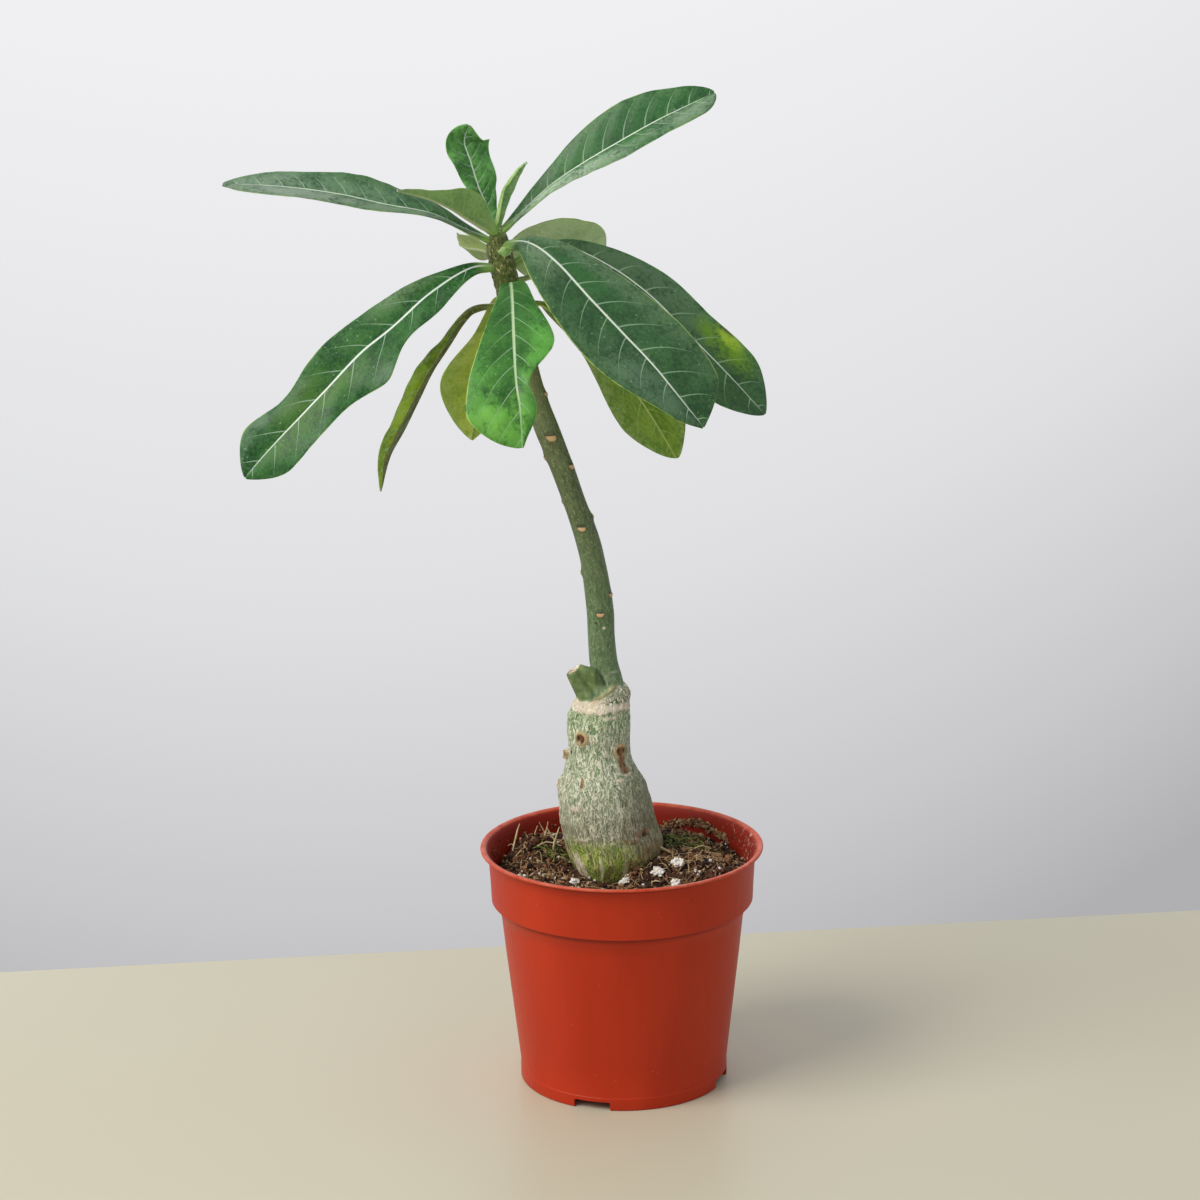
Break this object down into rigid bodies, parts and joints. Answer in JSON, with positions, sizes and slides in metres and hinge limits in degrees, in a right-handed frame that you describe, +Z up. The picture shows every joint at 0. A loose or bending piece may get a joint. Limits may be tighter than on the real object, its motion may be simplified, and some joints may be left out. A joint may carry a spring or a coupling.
{
  "type": "potted desert rose plant",
  "caption": "Young desert rose with a swollen grey-green trunk, one leaning stem and a whorl of long leaves, in a round plastic nursery pot of soil.",
  "frame": {"origin": "centre of the pot's underside, where it stands on the table", "axes": "+Z up the plant, -Y towards the viewer of the front, +X to that viewer's right"},
  "size_m": [0.2005, 0.1259, 0.3852],
  "materials": {
    "pot_plastic": "satin terracotta-red moulded plastic",
    "peat_soil": "rough, crumbly, dark brown",
    "bark": "matt, finely cracked grey-green bark",
    "leaf_green": "leathery, softly glossy dark green",
    "leaf_bright": "leathery, softly glossy bright green",
    "leaf_under": "matt olive leaf underside",
    "perlite": "chalky white"
  },
  "bodies": {
    "root": {"pot": "pot_plastic", "soil": "peat_soil", "trunk_and_stem": "bark", "side_bud": "leaf_bright", "leaf_left_long": "leaf_green", "leaf_left_wavy": "leaf_green", "leaf_left_drooping": "leaf_bright", "leaf_back_low_left": "leaf_under", "leaf_front": "leaf_bright", "leaf_right_front": "leaf_green", "leaf_right_behind": "leaf_green", "leaf_right_low": "leaf_under", "leaf_upper_right": "leaf_green", "leaf_back_right": "leaf_under", "leaf_young_upright": "leaf_bright", "leaf_young_narrow": "leaf_bright", "leaf_front_left_folded": "leaf_under", "leaf_back_left_small": "leaf_under", "leaf_right_hidden": "leaf_green", "perlite_grain_front": "perlite", "perlite_grain_right": "perlite", "perlite_grain_rim": "perlite", "perlite_grain_root": "perlite", "perlite_grain_left": "perlite"}
  },
  "joints": []
}
